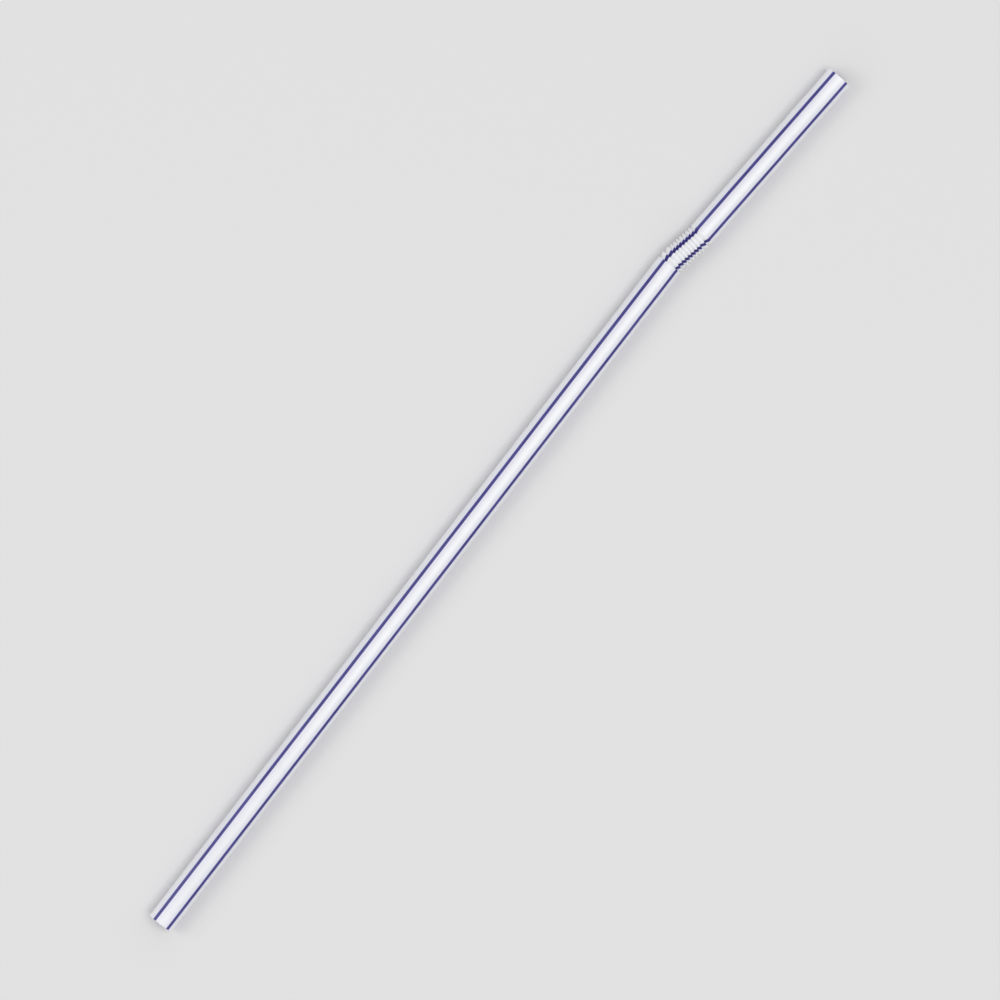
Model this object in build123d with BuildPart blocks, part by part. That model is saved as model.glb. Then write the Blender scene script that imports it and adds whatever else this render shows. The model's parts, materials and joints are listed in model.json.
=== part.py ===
"""Flexible drinking straw: one thin plastic tube with a bellows pushed together near its mouth.

The straw lies along +X with its bend in the XY plane, so that all of it rests on one level.
The origin is the middle of the lower end, the one that goes into the drink.
"""

import os
from math import atan2, pi, radians, tan

from build123d import *

# Driving dimensions of the tube, in millimetres
outer_diameter = 5.0
wall = 0.14
body_length = 151.5
mouth_length = 37.8

# The folds of the bellows, pushed together
fold_count = 10
fold_pitch = 0.74
fold_depth = 0.5
crest_land = 0.25
root_land = 0.08
crest_overhang = 0.1

# The set that the bellows has taken, in degrees: a turn at its lower end and one back at its upper end
lower_turn_angle = 11.0
upper_turn_angle = 7.5
folds_in_a_turn = 2

outer_radius = outer_diameter / 2
root_radius = outer_radius - fold_depth

# Folds inside a turn stay shut on its inner side and open towards its outer side
lower_fold_turn = radians(lower_turn_angle / folds_in_a_turn)
upper_fold_turn = radians(upper_turn_angle / folds_in_a_turn)
lower_bend_radius = outer_radius + fold_pitch / lower_fold_turn
upper_bend_radius = outer_radius + fold_pitch / upper_fold_turn
straight_fold_count = fold_count - 2 * folds_in_a_turn

# Length of each fold along the centre line, from the lower end of the bellows
pitches = (
    [lower_bend_radius * lower_fold_turn] * folds_in_a_turn
    + [fold_pitch] * straight_fold_count
    + [upper_bend_radius * upper_fold_turn] * folds_in_a_turn
)

# The centre line: body, turn, straight folds, turn back, mouth
with BuildLine() as centre_line:
    body_line = Line((0, 0), (body_length, 0))
    lower_bend = JernArc(body_line @ 1, body_line % 1, lower_bend_radius, -lower_turn_angle)
    shut_line = PolarLine(
        lower_bend @ 1, straight_fold_count * fold_pitch, direction=lower_bend % 1
    )
    upper_bend = JernArc(shut_line @ 1, shut_line % 1, upper_bend_radius, upper_turn_angle)
    mouth_line = PolarLine(upper_bend @ 1, mouth_length, direction=upper_bend % 1)

centre_wire = centre_line.wire()


def ring_plane(distance):
    """Plane square to the centre line at a distance along it, with its X axis level."""
    return Plane(
        centre_wire.location_at(
            distance, position_mode=PositionMode.LENGTH, x_dir=(0, 1, 0)
        )
    )


def bellows_rings(inset):
    """Distance and radius of each ring where the folded wall turns, for a skin this far inside it.

    Each fold is a short flank that tucks back under the rim before it, a root, a long flank, and a
    crest that ends in the next rim. A plain collar at each end carries on into the tube.
    """
    crest = outer_radius - inset
    root = root_radius - inset
    short_shift = inset * tan(pi / 4 + atan2(crest_overhang, fold_depth) / 2)
    rings = [(body_length - fold_pitch, crest), (body_length - short_shift, crest)]
    rim = body_length
    for pitch in pitches:
        long_run = pitch + crest_overhang - crest_land - root_land
        long_shift = inset * tan(atan2(fold_depth, long_run) / 2)
        root_start = rim - crest_overhang
        root_end = root_start + root_land
        rings.append((root_start - short_shift, root))
        rings.append((root_end + long_shift, root))
        rings.append((root_end + long_run + long_shift, crest))
        rim += pitch
        rings.append((rim - short_shift, crest))
    rings.append((rim + fold_pitch, crest))
    return rings


with BuildPart() as straw:
    # The outer skin as a full solid, then the hollow cut out of it
    for inset, mode in ((0, Mode.ADD), (wall, Mode.SUBTRACT)):
        rings = bellows_rings(inset)
        bellows_start = rings[0][0]
        bellows_end = rings[-1][0]
        # The body, up to the collar below the first fold
        with BuildSketch(ring_plane(0)):
            Circle(outer_radius - inset)
        extrude(amount=bellows_start, mode=mode)
        # The folds, as cones from ring to ring
        for distance, radius in rings:
            with BuildSketch(ring_plane(distance)):
                Circle(radius)
        loft(ruled=True, mode=mode)
        # The mouth piece, from the collar above the last fold
        with BuildSketch(ring_plane(bellows_end)):
            Circle(outer_radius - inset)
        extrude(amount=centre_wire.length - bellows_end, mode=mode)

straw.part.label = "straw"
os.makedirs("parts", exist_ok=True)
export_step(straw.part, "parts/straw.step")
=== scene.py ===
"""Looks of the flexible drinking straw.

The tube and its bellows are one fine closed mesh of striped milky plastic. It lies on a pale floor
in soft light, seen from straight above as in the photograph. All sizes are in metres.
"""

import json
from math import atan, atan2, cos, pi, radians, sin, tan

import bpy
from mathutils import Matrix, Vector


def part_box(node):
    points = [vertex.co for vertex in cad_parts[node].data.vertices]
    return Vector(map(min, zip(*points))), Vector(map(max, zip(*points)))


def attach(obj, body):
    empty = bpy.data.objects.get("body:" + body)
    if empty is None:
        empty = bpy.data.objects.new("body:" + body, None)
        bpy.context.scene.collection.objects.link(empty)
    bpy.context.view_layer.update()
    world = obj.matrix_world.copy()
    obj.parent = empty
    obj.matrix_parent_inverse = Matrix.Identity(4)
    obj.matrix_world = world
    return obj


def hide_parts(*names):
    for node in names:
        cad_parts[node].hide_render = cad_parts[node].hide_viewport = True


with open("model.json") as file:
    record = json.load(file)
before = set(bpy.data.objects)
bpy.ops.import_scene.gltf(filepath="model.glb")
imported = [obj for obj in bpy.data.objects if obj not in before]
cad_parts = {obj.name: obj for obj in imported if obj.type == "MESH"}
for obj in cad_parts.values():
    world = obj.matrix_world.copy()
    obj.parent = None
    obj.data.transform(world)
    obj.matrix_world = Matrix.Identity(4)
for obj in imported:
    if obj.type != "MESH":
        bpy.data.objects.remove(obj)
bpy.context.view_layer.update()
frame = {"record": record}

# Sizes that the record gives
mounts = {mount["name"]: mount["dims"] for mount in frame["record"]["mounts"]}
OUTER_RADIUS = mounts["body_outside"]["r_mm"] / 1000
WALL = OUTER_RADIUS - mounts["body_bore"]["r_mm"] / 1000
BODY_LENGTH = mounts["body_outside"]["length_mm"] / 1000
MOUTH_LENGTH = mounts["mouth_outside"]["length_mm"] / 1000

# The folds of the bellows, and the two turns that it has taken
FOLD_COUNT = 10
FOLD_PITCH = 0.00074
FOLD_DEPTH = 0.0005
CREST_LAND = 0.00025
ROOT_LAND = 0.00008
CREST_OVERHANG = 0.0001
LOWER_TURN = radians(11.0)
UPPER_TURN = radians(7.5)
FOLDS_IN_A_TURN = 2

# How finely the mesh is cut, how far its corners are rounded, and the name of its surface map
SEGMENTS = 120
CORNER_STEPS = 4
CORNER_ROUNDING = 0.00005
LARGEST_ROUNDED_SHARE = 0.45
SURFACE_MAP = "around_and_along"

# The stripes. An angle round the tube runs from straight up towards +Y
STRIPE_COUNT = 5
FIRST_STRIPE = radians(30.0)
STRIPE_WIDTH = 0.00066
STRIPE_EDGE = 0.00005
TINT_REACH = 0.0009
TINT_STRENGTH = 0.75
STRIPE_SPACING = 2 * pi * OUTER_RADIUS / STRIPE_COUNT

# How far the stripes wander, vary in width and widen on the folds, as shares of their spacing
STRIPE_WANDER = 0.02
STRIPE_UNEVENNESS = 0.012
FOLD_WIDENING = 0.022

# The folds' edge in the material, and how much whiter and duller they are
FOLD_EDGE = 0.0002
FOLD_WHITENING = 0.6
FOLD_ROUGHENING = 0.05

# Parts of a noise's range that the clouds, the lines and the ink use, and the tube's surface
NOISE_SPAN = (0.3, 0.7)
INK_NOISE_SPAN = (0.25, 0.75)
ROUGHNESS_SPAN = (0.26, 0.34)
RELIEF_STRENGTH = 0.25
RELIEF_DEPTH = 0.00003
LINE_RELIEF = 0.4
WAVE_RELIEF = 0.6

PLASTIC = (0.895, 0.90, 0.965)
PALE_PLASTIC = (0.93, 0.935, 0.975)
FOLD_WHITE = (0.95, 0.955, 0.975)
STRIPE_TINT = (0.76, 0.755, 0.93)
INK = (0.048, 0.040, 0.225)
PALE_INK = (0.075, 0.065, 0.29)
INK_ON_FOLDS = (0.030, 0.022, 0.215)
FLOOR_PAINT = (0.74, 0.74, 0.74)
WHITE = (1.0, 1.0, 1.0)

# Half the floor's side, the light of the sky, and the camera's view
FLOOR_REACH = 3.0
SKY_STRENGTH = 0.5
CAMERA_HEIGHT = 1.2
VIEW_WIDTH = 0.182
BODY_SLOPE = radians(52.3)


def turn_radius(turn):
    """Radius of the centre line where the folds stay shut on the inner side of a turn."""
    return OUTER_RADIUS + FOLD_PITCH * FOLDS_IN_A_TURN / turn


LOWER_RADIUS = turn_radius(LOWER_TURN)
UPPER_RADIUS = turn_radius(UPPER_TURN)
STRAIGHT_FOLDS = FOLD_COUNT - 2 * FOLDS_IN_A_TURN
PITCHES = (
    [LOWER_RADIUS * LOWER_TURN / FOLDS_IN_A_TURN] * FOLDS_IN_A_TURN
    + [FOLD_PITCH] * STRAIGHT_FOLDS
    + [UPPER_RADIUS * UPPER_TURN / FOLDS_IN_A_TURN] * FOLDS_IN_A_TURN
)
# Each stretch of the centre line: its length and its turn towards +Y
STRETCHES = (
    (BODY_LENGTH, 0.0),
    (LOWER_RADIUS * LOWER_TURN, -LOWER_TURN),
    (STRAIGHT_FOLDS * FOLD_PITCH, 0.0),
    (UPPER_RADIUS * UPPER_TURN, UPPER_TURN),
    (MOUTH_LENGTH, 0.0),
)
STRAW_LENGTH = sum(length for length, _ in STRETCHES)


def centre_at(distance):
    """Point of the centre line at a distance along it, and its heading as an angle from +X."""
    x = y = heading = 0.0
    for length, turn in STRETCHES:
        step = min(distance, length)
        if turn:
            radius = length / turn
            swept = step / radius
            x += radius * (sin(heading + swept) - sin(heading))
            y -= radius * (cos(heading + swept) - cos(heading))
            heading += swept
        else:
            x += step * cos(heading)
            y += step * sin(heading)
        distance -= step
        if distance <= 0:
            break
    return x, y, heading


def fold_corners(inset):
    """Corners of the folded wall, as (distance, radius), for a skin this far inside the outer one.

    Each fold is a short flank that tucks back under the rim before it, a root, a long flank, and a
    crest that ends in the next rim.
    """
    crest = OUTER_RADIUS - inset
    root = crest - FOLD_DEPTH
    short_shift = inset * tan(pi / 4 + atan2(CREST_OVERHANG, FOLD_DEPTH) / 2)
    corners = [(BODY_LENGTH - short_shift, crest)]
    rim = BODY_LENGTH
    for pitch in PITCHES:
        long_run = pitch + CREST_OVERHANG - CREST_LAND - ROOT_LAND
        long_shift = inset * tan(atan2(FOLD_DEPTH, long_run) / 2)
        root_start = rim - CREST_OVERHANG
        root_end = root_start + ROOT_LAND
        corners.append((root_start - short_shift, root))
        corners.append((root_end + long_shift, root))
        corners.append((root_end + long_run + long_shift, crest))
        rim += pitch
        corners.append((rim - short_shift, crest))
    return corners


def rounded(corners):
    """The closed outline with a short quadratic curve in place of each corner."""
    points = []
    for i, corner in enumerate(corners):
        ends = []
        for other in (corners[i - 1], corners[(i + 1) % len(corners)]):
            run = (other[0] - corner[0], other[1] - corner[1])
            length = (run[0] ** 2 + run[1] ** 2) ** 0.5
            share = min(CORNER_ROUNDING, LARGEST_ROUNDED_SHARE * length) / length
            ends.append((corner[0] + share * run[0], corner[1] + share * run[1]))
        for step in range(CORNER_STEPS + 1):
            t = step / CORNER_STEPS
            weights = ((1 - t) ** 2, 2 * t * (1 - t), t ** 2)
            pulls = (ends[0], corner, ends[1])
            points.append(
                tuple(sum(w * pull[axis] for w, pull in zip(weights, pulls)) for axis in (0, 1))
            )
    return points


def straw_profile():
    """Closed outline of the wall, as (distance, radius): the outer skin, then the inner one back."""
    inner_radius = OUTER_RADIUS - WALL
    return rounded(
        [(0.0, OUTER_RADIUS)]
        + fold_corners(0.0)
        + [(STRAW_LENGTH, OUTER_RADIUS), (STRAW_LENGTH, inner_radius)]
        + fold_corners(WALL)[::-1]
        + [(0.0, inner_radius)]
    )


def add_object(name, data):
    """A new object with this data, in the scene."""
    item = bpy.data.objects.new(name, data)
    bpy.context.scene.collection.objects.link(item)
    return item


def make_straw():
    """The wall's outline turned round the centre line, with a map of the surface."""
    profile = straw_profile()
    vertices = []
    for distance, radius in profile:
        x, y, heading = centre_at(distance)
        for k in range(SEGMENTS):
            angle = 2 * pi * k / SEGMENTS
            side = radius * sin(angle)
            vertices.append(
                (x - side * sin(heading), y + side * cos(heading), radius * cos(angle))
            )
    faces = []
    places = []
    for row in range(len(profile)):
        next_row = (row + 1) % len(profile)
        for column in range(SEGMENTS):
            corners = (
                (row, column),
                (next_row, column),
                (next_row, column + 1),
                (row, column + 1),
            )
            faces.append([r * SEGMENTS + c % SEGMENTS for r, c in corners])
            for r, c in corners:
                places.extend((c / SEGMENTS, profile[r][0] / STRAW_LENGTH))
    mesh = bpy.data.meshes.new("drinking_straw")
    mesh.from_pydata(vertices, [], faces)
    mesh.uv_layers.new(name=SURFACE_MAP).uv.foreach_set("vector", places)
    mesh.shade_smooth()
    mesh.update()
    return add_object("drinking_straw", mesh)


straw = make_straw()
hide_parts("straw")
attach(straw, "root")


class Nodes:
    """Short forms for building a material's node tree."""

    def __init__(self, material):
        material.use_nodes = True
        self.tree = material.node_tree
        self.shader = self.tree.nodes["Principled BSDF"]

    def make(self, kind, **settings):
        """A new node with these settings."""
        node = self.tree.nodes.new(kind)
        for name, value in settings.items():
            setattr(node, name, value)
        return node

    def join(self, source, target):
        """A link from an output to an input."""
        self.tree.links.new(source, target)

    def maths(self, operation, *values):
        """Output of a Math node on numbers or sockets."""
        node = self.make("ShaderNodeMath", operation=operation)
        for socket, value in zip(node.inputs, values):
            if isinstance(value, (int, float)):
                socket.default_value = value
            else:
                self.join(value, socket)
        return node.outputs[0]

    def ramp(self, value, low, high, from_value=0.0, to_value=1.0):
        """The value mapped smoothly from low..high to from_value..to_value."""
        node = self.make("ShaderNodeMapRange", interpolation_type="SMOOTHSTEP")
        self.join(value, node.inputs["Value"])
        for name, number in (
            ("From Min", low),
            ("From Max", high),
            ("To Min", from_value),
            ("To Max", to_value),
        ):
            node.inputs[name].default_value = number
        return node.outputs["Result"]

    def drawn_noise(self, spot, length, width, detail=2.0):
        """Noise drawn out along the straw, with features of this length and width in millimetres."""
        scaled = self.make("ShaderNodeVectorMath", operation="MULTIPLY")
        self.join(spot, scaled.inputs[0])
        scaled.inputs[1].default_value = (1 / length, 1 / width, 1 / width)
        noise = self.make("ShaderNodeTexNoise")
        self.join(scaled.outputs[0], noise.inputs["Vector"])
        noise.inputs["Scale"].default_value = 1.0
        noise.inputs["Detail"].default_value = detail
        return noise.outputs["Fac"]

    def swing(self, noise, reach):
        """A noise moved to lie round 0 and scaled by this reach."""
        return self.maths("MULTIPLY", self.maths("SUBTRACT", noise, 0.5), reach)

    def blend(self, share, a, b):
        """Colour a, going over to colour b as share goes from 0 to 1. Each is a colour or a socket."""
        node = self.make("ShaderNodeMix", data_type="RGBA")
        self.join(share, node.inputs[0])
        for socket, value in ((node.inputs[6], a), (node.inputs[7], b)):
            if isinstance(value, tuple):
                socket.default_value = (*value, 1.0)
            else:
                self.join(value, socket)
        return node.outputs[2]


def surface_places(n):
    """Share of a turn round the tube, share of its length, and the spot on the tube in millimetres."""
    split = n.make("ShaderNodeSeparateXYZ")
    n.join(n.make("ShaderNodeUVMap", uv_map=SURFACE_MAP).outputs["UV"], split.inputs[0])
    around, along = split.outputs["X"], split.outputs["Y"]
    angle = n.maths("MULTIPLY", around, 2 * pi)
    radius_mm = OUTER_RADIUS * 1000
    spot = n.make("ShaderNodeCombineXYZ")
    n.join(n.maths("MULTIPLY", along, STRAW_LENGTH * 1000), spot.inputs["X"])
    n.join(n.maths("MULTIPLY", n.maths("SINE", angle), radius_mm), spot.inputs["Y"])
    n.join(n.maths("MULTIPLY", n.maths("COSINE", angle), radius_mm), spot.inputs["Z"])
    return around, along, spot.outputs[0]


def fold_share(n, along):
    """1 on the folds and 0 on the plain tube, going over within a short stretch."""
    first = BODY_LENGTH / STRAW_LENGTH
    last = (STRAW_LENGTH - MOUTH_LENGTH) / STRAW_LENGTH
    edge = FOLD_EDGE / STRAW_LENGTH
    after_first = n.ramp(along, first - edge, first + edge)
    before_last = n.ramp(along, last - edge, last + edge, 1.0, 0.0)
    return n.maths("MULTIPLY", after_first, before_last)


def stripe_shares(n, around, spot, folds):
    """1 inside the stripes and 0 beside them, and the strength of the tint beside them."""
    phase = n.maths("MULTIPLY", around, float(STRIPE_COUNT))
    phase = n.maths("SUBTRACT", phase, STRIPE_COUNT * FIRST_STRIPE / (2 * pi) - 0.5)
    slow_noise = n.drawn_noise(spot, length=30.0, width=3.0)
    phase = n.maths("ADD", phase, n.swing(slow_noise, STRIPE_WANDER))
    # Distance from the nearest stripe's middle, as a share of the spacing
    off = n.maths("ABSOLUTE", n.maths("SUBTRACT", n.maths("FRACT", phase), 0.5))
    half = STRIPE_WIDTH / 2 / STRIPE_SPACING
    edge = STRIPE_EDGE / STRIPE_SPACING
    wider = n.maths(
        "ADD",
        n.swing(n.drawn_noise(spot, length=9.0, width=1.2), STRIPE_UNEVENNESS),
        n.maths("MULTIPLY", folds, FOLD_WIDENING),
    )
    outside = n.maths("SUBTRACT", n.maths("SUBTRACT", off, wider), half)
    inside = n.ramp(outside, -edge, edge, 1.0, 0.0)
    tint = n.ramp(off, half, half + TINT_REACH / STRIPE_SPACING, TINT_STRENGTH, 0.0)
    return inside, tint


def straw_plastic():
    """Milky polypropylene with stripes through its wall, fine drawing lines and whiter folds."""
    material = bpy.data.materials.new("straw_plastic")
    n = Nodes(material)
    around, along, spot = surface_places(n)
    folds = fold_share(n, along)
    stripe, tint = stripe_shares(n, around, spot, folds)

    # Colour: faint drawn clouds, a tint beside the stripes, whiter folds, and slightly uneven ink
    clouds = n.ramp(n.drawn_noise(spot, length=14.0, width=1.6, detail=3.0), *NOISE_SPAN)
    base = n.blend(clouds, PLASTIC, PALE_PLASTIC)
    base = n.blend(tint, base, STRIPE_TINT)
    base = n.blend(n.maths("MULTIPLY", folds, FOLD_WHITENING), base, FOLD_WHITE)
    ink_noise = n.drawn_noise(spot, length=5.0, width=0.5)
    ink = n.blend(n.ramp(ink_noise, *INK_NOISE_SPAN), INK, PALE_INK)
    ink = n.blend(folds, ink, INK_ON_FOLDS)
    n.join(n.blend(stripe, base, ink), n.shader.inputs["Base Color"])

    # Gloss: even on the tube, with faint die lines, and a little duller on the folds
    lines = n.drawn_noise(spot, length=60.0, width=0.11, detail=1.0)
    tube_roughness = n.ramp(lines, *NOISE_SPAN, *ROUGHNESS_SPAN)
    duller = n.maths("MULTIPLY", folds, FOLD_ROUGHENING)
    n.join(n.maths("ADD", tube_roughness, duller), n.shader.inputs["Roughness"])

    # Relief: the die lines, and a slow unevenness of the drawn tube
    fine = n.maths("MULTIPLY", lines, LINE_RELIEF)
    waves = n.maths("MULTIPLY", n.drawn_noise(spot, length=7.0, width=1.5), WAVE_RELIEF)
    bump = n.make("ShaderNodeBump")
    bump.inputs["Strength"].default_value = RELIEF_STRENGTH
    bump.inputs["Distance"].default_value = RELIEF_DEPTH
    n.join(n.maths("ADD", fine, waves), bump.inputs["Height"])
    n.join(bump.outputs["Normal"], n.shader.inputs["Normal"])

    n.shader.inputs["IOR"].default_value = 1.49
    n.shader.inputs["Subsurface Weight"].default_value = 0.35
    n.shader.inputs["Subsurface Radius"].default_value = WHITE
    n.shader.inputs["Subsurface Scale"].default_value = 0.0006
    return material


def floor_paint():
    """Plain matt paint."""
    material = bpy.data.materials.new("floor_paint")
    n = Nodes(material)
    n.shader.inputs["Base Color"].default_value = (*FLOOR_PAINT, 1.0)
    n.shader.inputs["Roughness"].default_value = 0.9
    return material


def make_floor(middle):
    """A square floor round this point, at the straw's lowest line."""
    signs = ((-1, -1), (1, -1), (1, 1), (-1, 1))
    corners = [
        (middle.x + sx * FLOOR_REACH, middle.y + sy * FLOOR_REACH, -OUTER_RADIUS)
        for sx, sy in signs
    ]
    mesh = bpy.data.meshes.new("floor")
    mesh.from_pydata(corners, [], [(0, 1, 2, 3)])
    mesh.materials.append(floor_paint())
    return add_object("floor", mesh)


def light_sky():
    """Even white light from all round."""
    world = bpy.data.worlds.new("studio")
    bpy.context.scene.world = world
    world.use_nodes = True
    background = world.node_tree.nodes["Background"]
    background.inputs["Color"].default_value = (*WHITE, 1.0)
    background.inputs["Strength"].default_value = SKY_STRENGTH


def add_lamp(name, aim, offset, size, power):
    """A square soft lamp with this side, at an offset from its aim and facing it."""
    light = bpy.data.lights.new(name, "AREA")
    light.shape = "SQUARE"
    light.size = size
    light.energy = power
    item = add_object(name, light)
    item.location = aim + Vector(offset)
    item.rotation_euler = (aim - item.location).to_track_quat("-Z", "Y").to_euler()


def add_camera(middle):
    """The camera, looking straight down, with the body of the straw running up to the right."""
    data = bpy.data.cameras.new("camera")
    data.angle = 2 * atan(VIEW_WIDTH / 2 / CAMERA_HEIGHT)
    camera = add_object("camera", data)
    camera.location = (middle.x, middle.y, CAMERA_HEIGHT)
    camera.rotation_euler = (0.0, 0.0, -BODY_SLOPE)
    bpy.context.scene.camera = camera


straw.data.materials.append(straw_plastic())
low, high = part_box("straw")
straw_middle = (low + high) / 2
make_floor(straw_middle)
light_sky()
add_lamp("overhead_lamp", straw_middle, offset=(0.1, -0.4, 1.6), size=0.9, power=12.0)
add_lamp("side_lamp", straw_middle, offset=(-0.5, 0.9, 1.1), size=0.8, power=4.2)
add_camera(straw_middle)
bpy.context.scene.view_settings.view_transform = "Standard"
